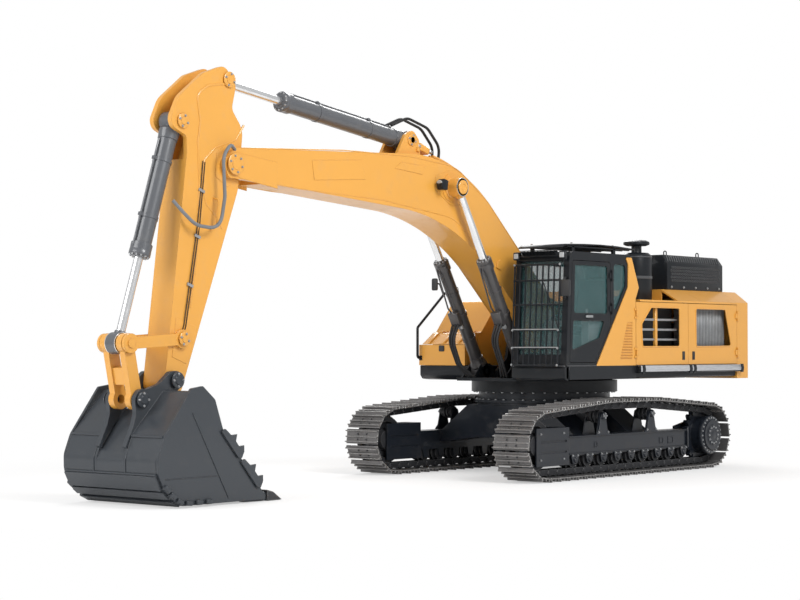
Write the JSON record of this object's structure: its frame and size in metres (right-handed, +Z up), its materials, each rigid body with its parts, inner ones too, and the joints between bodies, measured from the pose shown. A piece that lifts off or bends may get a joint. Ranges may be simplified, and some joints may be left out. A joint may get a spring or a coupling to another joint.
{
  "type": "crawler excavator",
  "caption": "Crawler excavator with a slewing upper structure, cab, box boom, arm and linkage-driven bucket, standing on two shoe tracks with its bucket on the ground",
  "frame": {"origin": "On the ground, in the middle of the footprint of the whole machine", "axes": "+X points the way the boom and tracks face, +Y to the operator's left, +Z up"},
  "size_m": [12.5059, 3.3, 5.3195],
  "materials": {
    "yellow_paint": "semi-gloss warm yellow enamel",
    "black_paint": "satin black enamel",
    "frame_paint": "gloss blue-black enamel",
    "track_steel": "dark steel, worn bright on the grousers",
    "cylinder_grey": "mid grey enamel",
    "boom_cylinder_paint": "dark brownish grey enamel",
    "rod_chrome": "polished chrome",
    "bucket_paint": "graphite paint",
    "step_metal": "silver painted step",
    "glass": "tinted glass",
    "seat_fabric": "dark woven seat fabric",
    "inner_plastic": "dark moulded plastic",
    "engine_paint": "dark engine paint",
    "cooling_core": "finned core"
  },
  "bodies": {
    "undercarriage": {"car_body": "frame_paint", "slew_ring": "track_steel", "track_left": "track_steel", "track_right": "track_steel", "track_frame_left": "frame_paint", "track_frame_right": "frame_paint", "sprockets": "frame_paint", "idlers": "track_steel", "track_rollers": "track_steel"},
    "upper": {"air_cleaner": "black_paint", "boom_foot_pin": "rod_chrome", "cab_glass": "glass", "cab_shell": "black_paint", "cab_side_skin": "yellow_paint", "console": "inner_plastic", "cooling_pack": "cooling_core", "counterweight": "yellow_paint", "engine": "engine_paint", "exhaust": "step_metal", "front_guard": "black_paint", "grille_box": "black_paint", "handrail": "black_paint", "hood": "yellow_paint", "main_frame": "black_paint", "right_body": "yellow_paint", "roof_guard": "black_paint", "seat": "seat_fabric", "side_decks": "black_paint", "tool_box": "yellow_paint"},
    "boom": {"boom": "yellow_paint", "boom_pipes": "yellow_paint"},
    "boom_barrel_left": {"boom_barrel_left": "boom_cylinder_paint"},
    "boom_barrel_right": {"boom_barrel_right": "boom_cylinder_paint"},
    "boom_rod_left": {"boom_rod_left": "rod_chrome"},
    "boom_rod_right": {"boom_rod_right": "rod_chrome"},
    "arm_barrel": {"arm_barrel": "cylinder_grey"},
    "arm_rod": {"arm_rod": "rod_chrome"},
    "arm": {"arm": "yellow_paint"},
    "bucket_barrel": {"bucket_barrel": "cylinder_grey"},
    "bucket_rod": {"bucket_rod": "rod_chrome"},
    "idler_link": {"idler_link": "yellow_paint"},
    "h_link": {"h_link": "yellow_paint"},
    "bucket": {"bucket": "bucket_paint"},
    "cab_door": {"cab_door": "black_paint", "cab_door_glass": "glass"},
    "service_door_front": {"service_door_front": "yellow_paint"},
    "service_door_rear": {"service_door_rear": "yellow_paint"},
    "pump_door": {"pump_door": "yellow_paint"},
    "tool_box_lid": {"tool_box_lid": "yellow_paint"}
  },
  "joints": [
    {"name": "swing", "type": "hinge", "parent": "undercarriage", "child": "upper", "pos_m": [-2.44297, 0, 1.195], "axis": [0, 0, 1], "continuous": true},
    {"name": "boom_lift", "type": "hinge", "parent": "upper", "child": "boom", "pos_m": [-2.29297, 0, 2.05], "axis": [0, -1, 0], "range_deg": [-49, 41]},
    {"name": "boom_barrel_left_pivot", "type": "hinge", "parent": "upper", "child": "boom_barrel_left", "pos_m": [-1.38297, 0.393, 1.51], "axis": [0, -1, 0], "range_deg": [-50.67, 42.56]},
    {"name": "boom_rod_left_slide", "type": "slide", "parent": "boom_barrel_left", "child": "boom_rod_left", "axis": [0.5134, 0, 0.8581], "range_m": [-0.859, 0.7217]},
    {"name": "boom_barrel_right_pivot", "type": "hinge", "parent": "upper", "child": "boom_barrel_right", "pos_m": [-1.38297, -0.393, 1.51], "axis": [0, -1, 0], "range_deg": [-50.67, 42.56]},
    {"name": "boom_rod_right_slide", "type": "slide", "parent": "boom_barrel_right", "child": "boom_rod_right", "axis": [0.5134, 0, 0.8581], "range_m": [-0.859, 0.7217]},
    {"name": "arm_swing", "type": "hinge", "parent": "boom", "child": "arm", "pos_m": [4.45673, 0, 4.12003], "axis": [0, 1, 0], "range_deg": [-57, 53]},
    {"name": "arm_barrel_pivot", "type": "hinge", "parent": "boom", "child": "arm_barrel", "pos_m": [0.91708, 0, 4.72058], "axis": [0, -1, 0], "range_deg": [-2.49, 2.67]},
    {"name": "arm_rod_slide", "type": "slide", "parent": "arm_barrel", "child": "arm_rod", "axis": [0.9921, 0, 0.1251], "range_m": [-0.9744, 0.9074]},
    {"name": "bucket_curl", "type": "hinge", "parent": "arm", "child": "bucket", "pos_m": [5.4166, 0, 1.46842], "axis": [0, 1, 0], "range_deg": [-84, 63]},
    {"name": "bucket_barrel_pivot", "type": "hinge", "parent": "arm", "child": "bucket_barrel", "pos_m": [5.25675, 0, 4.58937], "axis": [0, -1, 0], "range_deg": [-2.69, 3.56]},
    {"name": "bucket_rod_slide", "type": "slide", "parent": "bucket_barrel", "child": "bucket_rod", "axis": [0.3023, 0, -0.9532], "range_m": [-0.8214, 0.6203]},
    {"name": "idler_link_pivot", "type": "hinge", "parent": "arm", "child": "idler_link", "pos_m": [5.27592, 0, 1.95988], "axis": [0, 1, 0], "range_deg": [-63.49, 47.93]},
    {"name": "h_link_pivot", "type": "hinge", "parent": "idler_link", "child": "h_link", "pos_m": [6.10663, 0, 1.90964], "axis": [0, 1, 0], "range_deg": [-33.66, 44.59]},
    {"name": "cab_door_hinge", "type": "hinge", "parent": "upper", "child": "cab_door", "pos_m": [-2.03897, 1.503, 2.37], "axis": [0, 0, 1], "range_deg": [0, 160]},
    {"name": "service_door_front_hinge", "type": "hinge", "parent": "upper", "child": "service_door_front", "pos_m": [-2.67297, 1.515, 2.08], "axis": [0, 0, 1], "range_deg": [-105, 0]},
    {"name": "service_door_rear_hinge", "type": "hinge", "parent": "upper", "child": "service_door_rear", "pos_m": [-5.60297, 1.515, 2.08], "axis": [0, 0, 1], "range_deg": [0, 105]},
    {"name": "pump_door_hinge", "type": "hinge", "parent": "upper", "child": "pump_door", "pos_m": [-5.60297, -1.515, 2.08], "axis": [0, 0, -1], "range_deg": [0, 105]},
    {"name": "tool_box_lid_hinge", "type": "hinge", "parent": "upper", "child": "tool_box_lid", "pos_m": [-1.60897, -1, 2.097], "axis": [0, -1, 0], "range_deg": [0, 75]}
  ],
  "couplings": [
    {"joint": "boom_barrel_left_pivot", "follows": "boom_lift", "ratio": 1.0138},
    {"joint": "boom_rod_left_slide", "follows": "boom_lift", "m_per_rad": 0.98362},
    {"joint": "boom_barrel_right_pivot", "follows": "boom_lift", "ratio": 1.0138},
    {"joint": "boom_rod_right_slide", "follows": "boom_lift", "m_per_rad": 0.98362},
    {"joint": "arm_barrel_pivot", "follows": "arm_swing", "ratio": -0.04594},
    {"joint": "arm_rod_slide", "follows": "arm_swing", "m_per_rad": 0.95928},
    {"joint": "bucket_barrel_pivot", "follows": "bucket_curl", "ratio": -0.04158},
    {"joint": "bucket_rod_slide", "follows": "bucket_curl", "m_per_rad": 0.54863},
    {"joint": "idler_link_pivot", "follows": "bucket_curl", "ratio": 0.741},
    {"joint": "h_link_pivot", "follows": "bucket_curl", "ratio": -0.52043}
  ]
}
